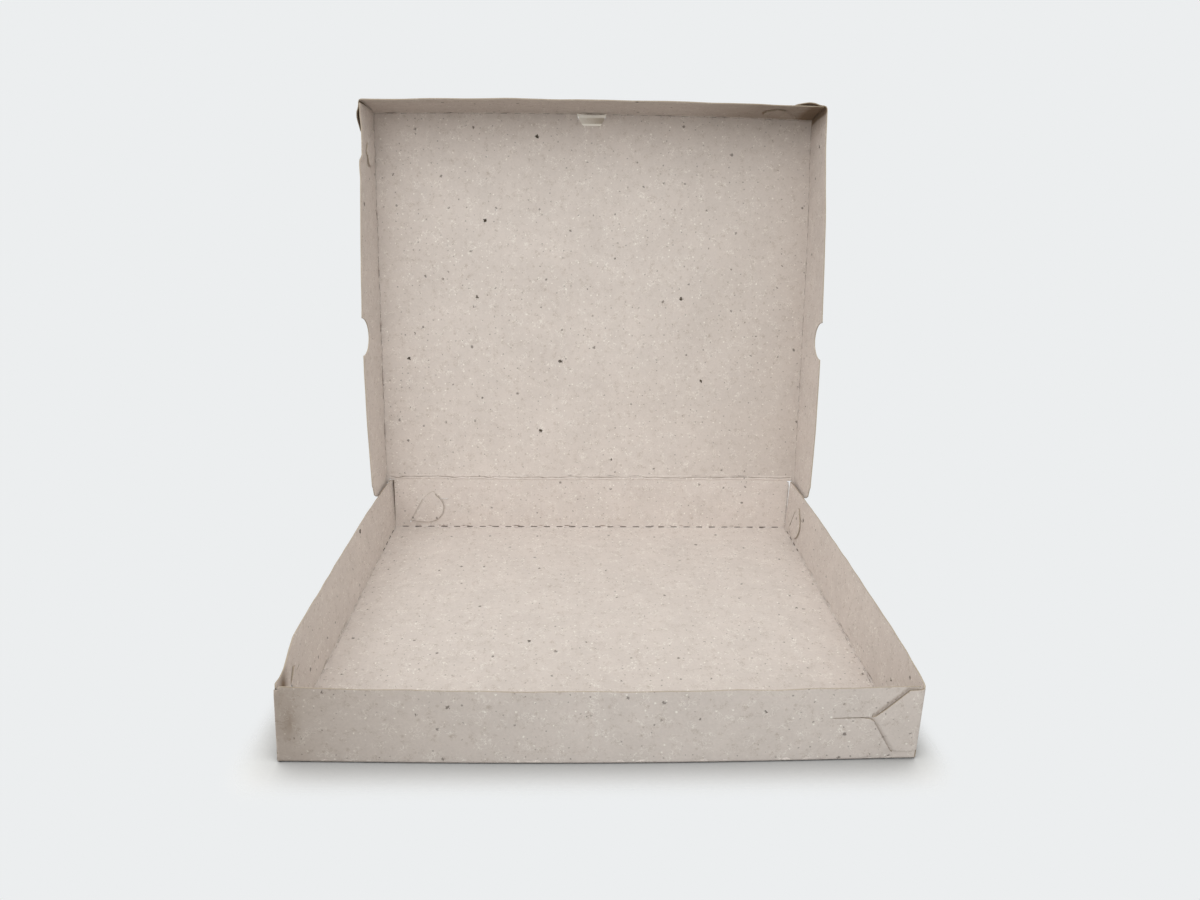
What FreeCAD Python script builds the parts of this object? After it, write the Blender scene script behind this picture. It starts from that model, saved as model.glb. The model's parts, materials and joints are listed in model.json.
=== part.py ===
import FreeCAD, Part
import os
import re
import Sketcher

# Pizza box folded from one sheet of grey board: a square tray with hook-locked corners, and a hinged lid.
# The frame: X to the right, Y from the front wall to the back wall, Z up.
# The origin is the middle of the tray's underside.
# A wall has a frame of its own: X along it from the corner where it receives its neighbour's flap,
# Y outwards from its outer face, and Z up from the underside of the panel that it is folded from.

SIZES = [
    ("width", 300, "tray, left outer face to right outer face at the folds"),
    ("depth", 255, "tray, front outer face to back outer face at the folds"),
    ("height", 40, "tray, underside to the rims of the front and side walls"),
    ("board", 0.7, "thickness of the board"),
    ("fold_leg", 1.6, "flattened outer edge of a fold, along each of its two panels"),
    ("side_bow", 2.6, "how far a tray side wall's rim stands out at its middle"),
    ("front_bow", 1.8, "the same for the tray's front wall"),
    ("lid_open", 98.8, "lid's angle from closed, in degrees"),
    ("lid_wall", 40, "lid, outer face of the panel to the rims of its walls"),
    ("lid_side_bow", 3, "how far a lid side wall's rim stands out at its middle"),
    ("lid_front_bow", 1, "the same for the lid's front wall"),
    ("lid_clearance", 0.4, "closed lid's walls and folds to the tray's walls and rims"),
    ("hinge_gap", 0.3, "hinge line to the lid panel's edge, beyond the half-round of the crease"),
    ("hinge_end", 1.5, "hinge line to the free ends of the lid's side walls"),
    ("layer_gap", 0.2, "between two layers of board at a lock"),
    ("corner_bend", 2.5, "outer radius where a wall turns the corner into its flap"),
    ("lock_zone", 44, "flat end of a wall that carries a lock"),
    ("flap_foot", 5.6, "lower edge of a flap above the underside"),
    ("flap_drop", 1.2, "upper edge of a flap below the rim"),
    ("flap_top_reach", 7.7, "length of a flap's upper edge from the corner"),
    ("flap_foot_reach", 12.7, "length of a flap's lower edge from the corner"),
    ("neck_reach", 23.2, "corner to the neck of the hook"),
    ("neck_height", 24, "underside to the neck of the hook"),
    ("pass_width", 2.4, "width of the slit that the hook passes through"),
    ("pass_margin", 0.8, "how much further up and down that slit runs than the hook"),
    ("hook_reach", 31.5, "corner to the hook's barb"),
    ("hook_height", 29.2, "underside to the hook's barb"),
    ("tongue_reach", 26, "corner to the lower end of the tongue's rounded edge"),
    ("tongue_foot", 2.9, "underside to the tongue's lower edge"),
    ("tongue_bulge", 8.6, "how far the tongue's rounded edge swells"),
    ("slit_end", 41, "corner to the far end of the level slit"),
    ("slit_width", 0.6, "width of the level slit"),
    ("cut_pitch", 9.77, "spacing of the cuts along a fold"),
    ("cut_length", 5, "length of a cut along a fold"),
    ("cut_width", 0.8, "width of a cut across a fold"),
    ("cut_margin", 8, "corner to the first and last cuts of a fold"),
    ("notch_radius", 12.5, "finger notch in the rim of each lid side wall"),
    ("notch_place", 105, "hinge line to the middle of the finger notches"),
    ("tab_place", -2.5, "tab's middle from the lid's middle, along X"),
    ("tab_setback", 8.1, "lid's front face to the tab's crease"),
    ("tab_length", 5.8, "tab, crease to free edge"),
    ("tab_root", 12.4, "tab's width at the crease"),
    ("tab_tip", 20.7, "tab's width at the free edge"),
    ("tab_bend", 45, "tab's angle from the lid's panel, in degrees"),
    ("tab_gap", 0.3, "cut round the tab"),
]

WORKED_OUT = {
    "fold_inner": "fold_leg + board * (sqrt(2) - 1)",
    "wall_end": "corner_bend + layer_gap",
    "flap_top": "wall_rim - flap_drop",
    "bend_start": "layer_gap + board - corner_bend",
    "two_layers": "2 * (board + layer_gap)",
    "hinge_y": "depth / 2 - board / 2",
    "hinge_z": "height + fold_leg + (sqrt(2) - 1) * (board + lid_clearance) - board / 2",
    "lid_width": "width + 2 * (max(side_bow; two_layers) + lid_clearance + board)",
    "lid_length": "hinge_y + depth / 2 + max(front_bow; two_layers) + lid_clearance + board",
    "lid_edge": "board / 2 + hinge_gap",
    "lid_turn": "180 - lid_open",
    "tab_line": "lid_length - tab_setback",
    "neck_slope": "(neck_reach - flap_foot_reach) / (neck_height - flap_foot)",
    "neck_run": "sqrt((neck_reach - flap_foot_reach)^2 + (neck_height - flap_foot)^2)",
}

doc = FreeCAD.newDocument("pizza_box")
sheet = doc.addObject("Spreadsheet::Sheet", "sizes")
for row, (alias, number, note) in enumerate(SIZES, start=1):
    sheet.set(f"A{row}", note)
    sheet.set(f"B{row}", str(number))
    sheet.setAlias(f"B{row}", alias)
doc.recompute()
ALIASES = {alias for alias, number, note in SIZES}


def formula(text, **local):
    """The formula with its worked-out sizes in full and its named sizes as cells of the sheet."""

    def written_out(match):
        word = match.group(0)
        if word in local:
            return f"({formula(local[word], **local)})"
        if word in WORKED_OUT:
            return f"({formula(WORKED_OUT[word], **local)})"
        return f"sizes.{word}" if word in ALIASES else word

    return re.sub(r"[A-Za-z_]\w*", written_out, str(text))


def value(text, **local):
    return float(sheet.evalExpression(formula(text, **local)))


def bind(thing, sizes, **local):
    """Ties properties of an object to formulas of named sizes."""
    for prop, text in sizes.items():
        thing.setExpression(prop, formula(text, **local))
    return thing


def place(thing, x="0", y="0", z="0", axis=None, turn="0", **local):
    if axis:
        thing.Placement = FreeCAD.Placement(FreeCAD.Vector(), FreeCAD.Rotation(axis, value(turn, **local)))
        bind(thing, {"Placement.Rotation.Angle": turn}, **local)
    names = ("Placement.Base.x", "Placement.Base.y", "Placement.Base.z")
    return bind(thing, dict(zip(names, (x, y, z))), **local)


X_AXIS = FreeCAD.Vector(1, 0, 0)
Y_AXIS = FreeCAD.Vector(0, 1, 0)
Z_AXIS = FreeCAD.Vector(0, 0, 1)


def block(name, x, y, z, length, width, height, **local):
    box = doc.addObject("Part::Box", name)
    bind(box, {"Length": length, "Width": width, "Height": height}, **local)
    return place(box, x, y, z, **local)


def outline(name, corners, **local):
    """A closed sketch. A corner is (x, y), or (x, y, bulge) where the edge after it is an arc that swells
    to the right of its run by that much."""
    sketch = doc.addObject("Sketcher::SketchObject", name)
    spots = [FreeCAD.Vector(value(c[0], **local), value(c[1], **local), 0) for c in corners]
    for i, corner in enumerate(corners):
        j = (i + 1) % len(corners)
        start, end = spots[i], spots[j]
        if len(corner) == 3:
            run = end - start
            swell = FreeCAD.Vector(run.y, -run.x, 0).normalize() * value(corner[2], **local)
            edge = sketch.addGeometry(Part.Arc(start, (start + end) / 2 + swell, end), False)
        else:
            edge = sketch.addGeometry(Part.LineSegment(start, end), False)
        first, last = (1, 2) if sketch.getPoint(edge, 1).distanceToPoint(start) < 1e-6 else (2, 1)
        for kind, axis in (("DistanceX", 0), ("DistanceY", 1)):
            for point, spot, source in ((first, start, corner), (last, end, corners[j])):
                index = sketch.addConstraint(Sketcher.Constraint(kind, -1, 1, edge, point, spot[axis]))
                sketch.setExpression(f"Constraints[{index}]", formula(source[axis], **local))
        if len(corner) == 3:
            across = f"(({corners[j][0]}) - ({corner[0]}))^2 + (({corners[j][1]}) - ({corner[1]}))^2"
            radius = f"(({across}) / 4 + ({corner[2]})^2) / (2 * abs({corner[2]}))"
            index = sketch.addConstraint(Sketcher.Constraint("Radius", edge, value(radius, **local)))
            sketch.setExpression(f"Constraints[{index}]", formula(radius, **local))
    return sketch


def pad(name, sketch, length, **local):
    body = doc.addObject("Part::Extrusion", name)
    body.Base = sketch
    body.DirMode = "Normal"
    body.Solid = True
    return bind(body, {"LengthFwd": length}, **local)


def fuse(name, pieces):
    joined = doc.addObject("Part::MultiFuse", name)
    joined.Shapes = pieces
    return joined


def cut(name, base, tools):
    kept = doc.addObject("Part::Cut", name)
    kept.Base = base
    if len(tools) == 1:
        kept.Tool = tools[0]
    else:
        kept.Tool = doc.addObject("Part::Compound", name + "_tools")
        kept.Tool.Links = tools
    return kept


def fold_strip(name, start, end, reach):
    """The flattened bend between a panel and its wall, with the row of cuts along it."""
    section = outline(
        name + "_section",
        [
            ("-fold_inner", "0"),
            ("-fold_leg", "0"),
            ("0", "fold_leg"),
            ("0", "fold_inner"),
            ("-board", "fold_inner"),
            ("-fold_inner", "board"),
        ],
    )
    section.Placement.Rotation = FreeCAD.Rotation(Y_AXIS, Z_AXIS, X_AXIS)
    bind(section, {"Placement.Base.x": start})
    strip = pad(name, section, f"({end}) - ({start})")
    count = int(value(f"({reach}) - 2 * cut_margin") // value("cut_pitch"))
    row_start = f"(({reach}) - {count} * cut_pitch) / 2 - cut_length / 2"
    cuts = []
    for i in range(count + 1):
        slot = block(f"{name}_cut_{i}", "0", "0", "0", "cut_length", "cut_width", "4 * board")
        place(
            slot,
            f"{row_start} + {i} * cut_pitch",
            "-fold_leg / 2 + (board - cut_width / 2) * cos(45)",
            "fold_leg / 2 - (board + cut_width / 2) * cos(45)",
            X_AXIS,
            "45",
        )
        cuts.append(slot)
    return cut(name + "_cut", strip, cuts)


def wall(name, reach, rim, bow, start="wall_end", flat="lock_zone", stop="wall_end"):
    """A wall in its own frame: the fold, the flat end that takes a lock, and the length that bows out."""
    end = f"({reach}) - ({stop})"
    pieces = [fold_strip(name + "_fold", start, end, reach)]
    if bow is None:
        flat = end
    standing = f"({rim}) - fold_inner"
    pieces.append(
        block(name + "_flat", start, "-board", "fold_inner", f"({flat}) - ({start})", "board", standing)
    )
    if bow is None:
        return pieces
    foot = outline(name + "_foot", [(flat, "-board"), (end, "-board"), (end, "0"), (flat, "0")])
    place(foot, z="fold_inner")
    top = outline(
        name + "_rim",
        [(flat, "-board", f"-({bow})"), (end, "-board"), (end, "0", bow), (flat, "0")],
    )
    place(top, z=rim)
    bowed = doc.addObject("Part::Loft", name + "_bowed")
    bowed.Sections = [foot, top]
    bowed.Solid = True
    bowed.Ruled = True
    pieces.append(bowed)
    return pieces


def corner_lock(name, rim):
    """The flap that turns the corner from the giving wall, its hook on the inside, and the slits for it,
    in the receiving wall's frame."""
    local = {"wall_rim": rim}
    turn = outline(
        name + "_turn",
        [
            ("0", "-wall_end"),
            ("board", "-wall_end"),
            ("board", "bend_start", "-(corner_bend - board) * (1 - cos(45))"),
            ("corner_bend", "layer_gap"),
            ("corner_bend", "layer_gap + board", "corner_bend * (1 - cos(45))"),
            ("0", "bend_start"),
        ],
        **local,
    )
    place(turn, z="flap_foot")
    bend = pad(name + "_bend", turn, "flap_top - flap_foot", **local)
    face = outline(
        name + "_face",
        [
            ("corner_bend", "flap_foot"),
            ("flap_foot_reach", "flap_foot"),
            ("neck_reach", "neck_height"),
            ("flap_top_reach", "flap_top"),
            ("corner_bend", "flap_top"),
        ],
        **local,
    )
    face.Placement.Rotation = FreeCAD.Rotation(X_AXIS, Z_AXIS, -Y_AXIS)
    bind(face, {"Placement.Base.y": "layer_gap + board"})
    flap = pad(name + "_flap", face, "board", **local)
    across = "pass_width / sqrt(1 + neck_slope^2)"
    shift_x = across
    shift_z = f"-{across} * neck_slope"
    section = outline(
        name + "_pass_section",
        [("0", "0"), ("neck_run", "0"), ("neck_run", "board"), ("0", "board")],
        **local,
    )
    lean = "atan(1 / neck_slope)"
    section.Placement = FreeCAD.Placement(FreeCAD.Vector(), FreeCAD.Rotation(-Y_AXIS, value(lean)))
    bind(
        section,
        {
            "Placement.Rotation.Angle": lean,
            "Placement.Base.x": "flap_foot_reach",
            "Placement.Base.y": "layer_gap",
            "Placement.Base.z": "flap_foot",
        },
    )
    bridge = doc.addObject("Part::Extrusion", name + "_pass")
    bridge.Base = section
    bridge.DirMode = "Custom"
    bridge.Solid = True
    bind(bridge, {"Dir.x": shift_x, "Dir.y": "-(two_layers)", "Dir.z": shift_z})
    inner = outline(
        name + "_tongue_outline",
        [
            (f"flap_foot_reach + {shift_x}", f"flap_foot + {shift_z}"),
            ("tongue_reach", "tongue_foot", "tongue_bulge"),
            ("hook_reach", "hook_height"),
            (f"neck_reach + {shift_x}", f"neck_height + {shift_z}"),
        ],
        **local,
    )
    inner.Placement.Rotation = FreeCAD.Rotation(X_AXIS, Z_AXIS, -Y_AXIS)
    bind(inner, {"Placement.Base.y": "-board - layer_gap"})
    tongue = pad(name + "_tongue", inner, "board", **local)
    level = ("slit_end - neck_reach", "3 * board", "slit_width")
    slit = block(name + "_slit", "neck_reach", "-2 * board", "neck_height", *level)
    low_x, low_z = "flap_foot_reach - neck_slope * pass_margin", "flap_foot - pass_margin"
    high_x, high_z = "neck_reach + neck_slope * pass_margin", "neck_height + pass_margin"
    opening = outline(
        name + "_pass_outline",
        [
            (low_x, low_z),
            (f"{low_x} + {shift_x}", f"{low_z} + {shift_z}"),
            (f"{high_x} + {shift_x}", f"{high_z} + {shift_z}"),
            (high_x, high_z),
        ],
        **local,
    )
    opening.Placement.Rotation = FreeCAD.Rotation(X_AXIS, Z_AXIS, -Y_AXIS)
    bind(opening, {"Placement.Base.y": "board"})
    passage = pad(name + "_passage", opening, "3 * board")
    return [bend, flap, bridge, tongue], [slit, passage]


def set_pieces(pieces, x, y, turn):
    """Joins the pieces of one lock and moves them from the wall's own frame into the sheet's frame."""
    group = fuse(pieces[0].Name + "_set", pieces)
    place(group, x, y, "0", Z_AXIS, turn)
    return group


def folded_sheet(name, width, near, far, rims, bows, panel_near, whole):
    """A panel with its walls folded up. It spans near to far along Y, and each wall but the near one of a lid
    hands its flap to the next, clockwise from above."""
    reach = f"({far}) - ({near})"
    panel = block(
        name + "_panel",
        f"-({width}) / 2 + fold_inner",
        f"({near}) + {panel_near}",
        "0",
        f"({width}) - 2 * fold_inner",
        f"({reach}) - {panel_near} - fold_inner",
        "board",
    )
    spots = {
        "back": (width, f"-({width}) / 2", far, "0"),
        "right": (reach, f"({width}) / 2", far, "-90"),
        "front": (width, f"({width}) / 2", near, "180"),
        "left": (reach, f"-({width}) / 2", near, "90"),
    }
    walls, locks = [panel], []
    for side, (length, x, y, turn) in spots.items():
        if side not in rims:
            continue
        ends = {}
        if not whole and side == "left":
            ends = {"start": "hinge_end", "flat": "2 * hinge_end"}
        if not whole and side == "right":
            ends = {"stop": "hinge_end"}
        pieces = wall(f"{name}_{side}", length, rims[side], bows[side], **ends)
        if side == "back" and whole:
            crease = doc.addObject("Part::Cylinder", name + "_crease")
            crease.Placement.Rotation = FreeCAD.Rotation(Y_AXIS, Z_AXIS, X_AXIS)
            bind(crease, {"Radius": "board / 2", "Height": f"({length}) - 2 * wall_end"})
            place(crease, "wall_end", "-board / 2", rims[side])
            pieces.append(crease)
        standing = fuse(f"{name}_{side}_wall", pieces)
        if ends.get("start") != "hinge_end":
            lock, slits = corner_lock(f"{name}_{side}_lock", rims["lock"])
            standing = cut(f"{name}_{side}_slit_wall", standing, slits)
            locks.append(set_pieces(lock, x, y, turn))
        walls.append(place(standing, x, y, "0", Z_AXIS, turn))
    return fuse(name, walls + locks)


tray = folded_sheet(
    "tray",
    "width",
    "-depth / 2",
    "depth / 2",
    {"left": "height", "back": "hinge_z", "right": "height", "front": "height", "lock": "height"},
    {"left": "side_bow", "back": None, "right": "side_bow", "front": "front_bow"},
    "fold_inner",
    True,
)

# The lid is laid out flat behind the tray with its walls up, mirrored so that its flaps run the right way,
# and then swung up about the hinge line.
lid_sheet = folded_sheet(
    "lid_sheet",
    "lid_width",
    "0",
    "lid_length",
    {"left": "lid_wall", "back": "lid_wall", "right": "lid_wall", "lock": "lid_wall"},
    {"left": "lid_side_bow", "back": "lid_front_bow", "right": "lid_side_bow"},
    "lid_edge",
    False,
)
lid_mirrored = doc.addObject("Part::Mirroring", "lid_mirrored")
lid_mirrored.Source = lid_sheet
lid_mirrored.Normal = X_AXIS

notches = doc.addObject("Part::Cylinder", "finger_notches")
notches.Placement.Rotation = FreeCAD.Rotation(Y_AXIS, Z_AXIS, X_AXIS)
bind(notches, {"Radius": "notch_radius", "Height": "lid_width + 8 * lid_side_bow"})
place(notches, "-lid_width / 2 - 4 * lid_side_bow", "notch_place", "lid_wall")
tab_hole_outline = outline(
    "tab_hole_outline",
    [
        ("tab_place - tab_root / 2 - tab_gap", "tab_line - board / 2 - tab_gap"),
        ("tab_place + tab_root / 2 + tab_gap", "tab_line - board / 2 - tab_gap"),
        ("tab_place + tab_tip / 2 + 1.5 * tab_gap", "tab_line + tab_length + tab_gap"),
        ("tab_place - tab_tip / 2 - 1.5 * tab_gap", "tab_line + tab_length + tab_gap"),
    ],
)
place(tab_hole_outline, z="-board")
tab_hole = pad("tab_hole", tab_hole_outline, "3 * board")

lid = cut("lid", lid_mirrored, [notches, tab_hole])
place(
    lid,
    "0",
    "hinge_y + sin(lid_turn) * board / 2",
    "hinge_z - cos(lid_turn) * board / 2",
    X_AXIS,
    "lid_turn",
)

tab_outline = outline(
    "tab_outline",
    [
        ("-tab_root / 2", "0"),
        ("tab_root / 2", "0"),
        ("tab_tip / 2", "tab_length"),
        ("-tab_tip / 2", "tab_length"),
    ],
)
tab_crease = doc.addObject("Part::Cylinder", "tab_crease")
tab_crease.Placement.Rotation = FreeCAD.Rotation(Y_AXIS, Z_AXIS, X_AXIS)
bind(tab_crease, {"Radius": "board / 2", "Height": "tab_root"})
place(tab_crease, "-tab_root / 2", "0", "board / 2")
lid_tab = fuse("lid_tab", [pad("tab_plate", tab_outline, "board"), tab_crease])
place(
    lid_tab,
    "tab_place",
    "hinge_y + cos(lid_turn) * tab_line + sin(lid_turn + tab_bend) * board / 2",
    "hinge_z + sin(lid_turn) * tab_line - cos(lid_turn + tab_bend) * board / 2",
    X_AXIS,
    "lid_turn + tab_bend",
)

SUB_PARTS = [tray, lid, lid_tab]
for sub_part, label in zip(SUB_PARTS, ("tray", "lid", "lid_tab")):
    sub_part.Label = label

doc.recompute()
for thing in doc.Objects:
    if "Invalid" in thing.State or "Error" in thing.State:
        raise RuntimeError(f"{thing.Name} could not be built: {thing.State}")
os.makedirs("parts", exist_ok=True)
for sub_part in SUB_PARTS:
    shape = sub_part.Shape
    if shape.isNull() or not shape.isValid():
        raise RuntimeError(f"{sub_part.Label} has no valid solid")
    shape.exportStep(f"parts/{sub_part.Label}.step")
    print(sub_part.Label, len(shape.Solids), "solid", round(shape.Volume / 1000, 1), "cm3", shape.BoundBox)
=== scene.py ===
# %% [markdown]
# # A pizza box of grey board, folded from one sheet
# The real box is one die-cut sheet: a tray, a lid joined to it by a crease, and corner flaps whose hooks
# pass through slits. It could be built from thin plates, but then every fold, hook and cut would be a
# separate piece that has to meet its neighbours. Here each part is drawn flat, as the die cuts it, filled
# with points, and folded into place by a function, so the pieces meet because the sheet does.

# %% tools and frame
import bpy
import json
import math
import numpy as np
from mathutils import Matrix, Vector
from mathutils.geometry import delaunay_2d_cdt

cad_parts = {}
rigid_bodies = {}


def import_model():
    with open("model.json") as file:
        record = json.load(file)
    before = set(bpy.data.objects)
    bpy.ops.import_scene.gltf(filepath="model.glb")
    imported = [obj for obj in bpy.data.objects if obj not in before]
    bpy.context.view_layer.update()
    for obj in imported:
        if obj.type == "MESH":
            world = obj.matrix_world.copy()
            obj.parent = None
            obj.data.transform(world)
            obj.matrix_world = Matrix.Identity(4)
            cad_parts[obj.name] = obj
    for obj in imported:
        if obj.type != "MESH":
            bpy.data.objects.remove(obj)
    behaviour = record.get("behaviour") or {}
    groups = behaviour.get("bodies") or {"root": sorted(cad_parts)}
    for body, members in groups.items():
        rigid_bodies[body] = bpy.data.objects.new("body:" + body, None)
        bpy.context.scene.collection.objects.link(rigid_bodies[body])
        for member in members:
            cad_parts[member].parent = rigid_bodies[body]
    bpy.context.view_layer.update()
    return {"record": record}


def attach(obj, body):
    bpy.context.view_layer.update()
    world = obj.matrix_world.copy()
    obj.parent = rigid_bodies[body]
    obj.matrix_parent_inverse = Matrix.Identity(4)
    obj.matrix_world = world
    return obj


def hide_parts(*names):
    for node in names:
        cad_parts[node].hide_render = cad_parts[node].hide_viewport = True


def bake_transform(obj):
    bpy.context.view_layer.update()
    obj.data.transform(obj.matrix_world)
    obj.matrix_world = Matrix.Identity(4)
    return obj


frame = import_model()

# %% [markdown]
# ## Sizes
# All sizes are in millimetres until a mesh is made. The hinge comes from the frame, and the rest are the
# board's own: its thickness, its folds and its hook locks. A fold is a quarter circle, and the board keeps
# its length along the middle of its thickness, so each fold has a radius there and an arc.

# %% sizes
MM = 0.001
BOARD = 0.7
FOLD = 1.5
FOLD_MID = FOLD - BOARD / 2
FOLD_ARC = FOLD_MID * math.pi / 2
CORNER = 2.0
CORNER_MID = CORNER - BOARD / 2
CORNER_ARC = CORNER_MID * math.pi / 2
LAYER_GAP = 0.2
LAYER = BOARD + LAYER_GAP
BEND_START = LAYER_GAP + BOARD - CORNER
HALF_WIDTH, HALF_DEPTH, HEIGHT = 150.0, 127.5, 40.0

joints = {j["name"]: j for j in frame["record"]["behaviour"]["joints"]}
HINGE_Y, HINGE_Z = (1000 * c for c in joints["lid_hinge"]["pos_m"][1:])
LID_OPEN = 98.8
LID_TURN = math.radians(180 - LID_OPEN)
# The lid slips over the tray: it has room for the flaps at the tray's sides, and then a slip gap.
SIDE_ROOM, SLIP = 2.6, 0.4
LID_HALF_WIDTH = HALF_WIDTH + SIDE_ROOM + SLIP + BOARD
LID_LENGTH = HINGE_Y + HALF_DEPTH + 2 * LAYER + SLIP + BOARD
LID_WALL = 40.0
LID_EDGE = BOARD / 2 + 0.3
NOTCH_RADIUS = 12.5
NOTCH_PLACE = 105.0
TAB_X, TAB_SETBACK, TAB_LENGTH, TAB_ROOT, TAB_TIP, TAB_BEND = -2.5, 8.1, 5.8, 12.4, 20.7, math.radians(45)
TAB_LINE = LID_LENGTH - TAB_SETBACK
print("hinge line at y", round(HINGE_Y, 2), "z", round(HINGE_Z, 2), "mm")
print("lid length", round(LID_LENGTH, 2), "mm")

# %% cuts and locks
CUT_PITCH, CUT_LENGTH, CUT_MARGIN = 9.77, 4.9, 8.0
TRAY_CUT_WIDTH, LID_CUT_WIDTH = 0.8, 0.4
FLAP_DROP = 1.2

NECK = (23.2, 24.0)
FOOT = (12.7, 5.6)
NECK_RUN = (NECK[0] - FOOT[0], NECK[1] - FOOT[1])
NECK_LENGTH = math.dist(NECK, FOOT)
SLIT_END = 43.0
HOOK_MIDDLE, HOOK_RADII = (24.2, 17.4), (13.8, 12.2)
HOOK_TURN = (math.radians(52), math.radians(-80))
print("the slit of a lock is", round(NECK_LENGTH, 1), "mm from its foot to its neck")


# %% [markdown]
# ## A wall's own frame
# Every wall has the same outline, cuts and lock, turned to its own side of the box. They could be typed
# out for each wall, but it is safer to draw them once in a wall's own frame. `u` runs along a wall from
# the corner where it receives its neighbour's flap, and `w` runs outwards on the flat sheet from the
# wall's outer face.

# %% sides
def smooth(start, end, x):
    """0 before start and 1 after end, with a soft step between."""
    step = np.clip((x - start) / (end - start), 0.0, 1.0)
    return step * step * (3 - 2 * step)


class Side:
    """One wall's place on the flat sheet."""

    def __init__(self, corner, along, out, length):
        self.corner, self.along, self.out = (np.array(v, float) for v in (corner, along, out))
        self.length = length

    def local(self, flat):
        away = flat - self.corner
        return away @ self.along, away @ self.out

    def flat(self, u, w):
        return self.corner + np.multiply.outer(u, self.along) + np.multiply.outer(w, self.out)


def sides_of(half_width, near, far):
    return {
        "back": Side((-half_width, far), (1, 0), (0, 1), 2 * half_width),
        "right": Side((half_width, far), (0, -1), (1, 0), far - near),
        "front": Side((half_width, near), (-1, 0), (0, -1), 2 * half_width),
        "left": Side((-half_width, near), (0, 1), (-1, 0), far - near),
    }


GIVES_TO = {"front": "left", "left": "back", "back": "right", "right": "front"}
GETS_FROM = {receiver: giver for giver, receiver in GIVES_TO.items()}


def flat_height(z):
    """Where a height up the folded wall lies on the flat sheet."""
    return z - 2 * FOLD + FOLD_ARC


def wall_height(w):
    """How high up the folded wall a place on the flat sheet comes."""
    return w + 2 * FOLD - FOLD_ARC


def flap_u(length, x):
    """Where a distance along the receiving wall lies on the flat sheet, along the giving wall."""
    return length + BEND_START + CORNER_ARC + x - CORNER


# %% [markdown]
# ## The die
# A steel rule die stamps the outline of the sheet, the short cuts along its folds and the slits of its
# locks in one stroke. They could be cut with boolean solids, which is slow and breaks on board this thin.
# Here they are closed rings of points on the flat sheet: one round the outside, and one round each hole.

# %% outline of a wall
rng = np.random.default_rng(7)


def arc(centre, start, end, radius_x, radius_y, steps):
    """Points on part of an ellipse."""
    angles = np.linspace(start, end, steps)
    return [(centre[0] + radius_x * math.cos(a), centre[1] + radius_y * math.sin(a)) for a in angles]


def hook_arc(wider=0.0):
    """The round end of a hook."""
    return arc(HOOK_MIDDLE, *HOOK_TURN, HOOK_RADII[0] + wider, HOOK_RADII[1] + wider, 14)


def flap_path(length, top):
    """The flap and hook at a wall's giving end, as points (u, w)."""
    hook = [(2.0, top), (7.7, top - 0.2), NECK, (26.6, 27.9), (30.6, 30.2), (32.3, 29.8)]
    hook += hook_arc()
    hook += [(19.0, 5.8), (15.2, 6.8), (FOOT[0] + 0.3, 5.7), (FOOT[0] - 0.8, 5.4), (3.0, 5.6)]
    return [(flap_u(length, x), flat_height(z)) for x, z in hook]


def wall_path(side, rim, giver, receiver, flap_top, notch=None):
    """One wall's outline from its receiving end to its giving end, in flat coordinates. An end with no
    neighbour is the lid's free end, which reaches past the hinge and covers the tray's rim."""
    top = flat_height(rim)
    free_end = [(0.6, -3.9), (-3.4, -2.4), (-7.4, 1.5), (-8.6, 12.0), (-8.3, 27.0), (-7.2, 31.0)]
    free_end += [(-5.2, 35.0), (0.5, top - 1.5), (2.5, top)]
    path = [(0.95, 4.0), (1.5, 12.0), (2.5, top)] if receiver else free_end
    if notch:
        path += arc((notch, top), math.pi, 2 * math.pi, NOTCH_RADIUS, NOTCH_RADIUS + 0.4, 25)
    if giver:
        path.append((side.length - 2.4, top))
        path += flap_path(side.length, flap_top)
        path += [(side.length - 0.3, flat_height(5.4)), (side.length - 0.3, -0.95)]
    else:
        path += [(side.length - u, w) for u, w in reversed(free_end)]
    return [side.flat(u, w) for u, w in path]


# %% cuts and slits
def fold_cuts(side, middle, width):
    """The row of cuts along a fold, at `middle` on the flat sheet, each `width` wide."""
    count = int((side.length - 2 * CUT_MARGIN) // CUT_PITCH)
    first = (side.length - count * CUT_PITCH) / 2
    reach = width / 2
    holes = []
    for i in range(count + 1):
        half = (CUT_LENGTH + rng.uniform(-0.25, 0.25)) / 2
        centre = first + i * CUT_PITCH
        corners = [(-half, -0.5), (-half + 0.3, -1), (half - 0.3, -1), (half, -0.4), (half, 0.5)]
        corners += [(half - 0.4, 1), (0.3 * half, 1.1), (-half + 0.3, 1), (-half, 0.4)]
        holes.append([side.flat(centre + a, middle + reach * b) for a, b in corners])
    return holes


def lock_slits(side):
    """The slanted slit that the hook passes through, joined to the level slit above it."""
    across = np.array([NECK_RUN[1], -NECK_RUN[0]]) / NECK_LENGTH
    up = np.array(NECK_RUN) / NECK_LENGTH
    foot, neck = np.array(FOOT) - 1.2 * up, np.array(NECK)
    level = 0.22
    ring = [
        foot - 0.1 * across,
        foot + 0.1 * across,
        foot + 2.0 * up + 0.55 * across,
        neck - 1.2 * up + 0.55 * across,
        (neck[0] + 1.6, neck[1] - 2.4 * level),
        (neck[0] + 4.5, neck[1] - 1.6 * level),
        (neck[0] + 6.0, neck[1] - level),
        (SLIT_END - 2, neck[1] - level),
        (SLIT_END, neck[1]),
        (SLIT_END - 2, neck[1] + level),
        (neck[0] + 6.0, neck[1] + level),
        (neck[0] + 4.5, neck[1] + 1.6 * level),
        (neck[0] + 1.0, neck[1] + 2.0 * level),
        neck + 0.9 * up,
        neck - 0.55 * across,
        foot + 2.0 * up - 0.55 * across,
    ]
    return [side.flat(x, flat_height(z)) for x, z in ring]


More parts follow.
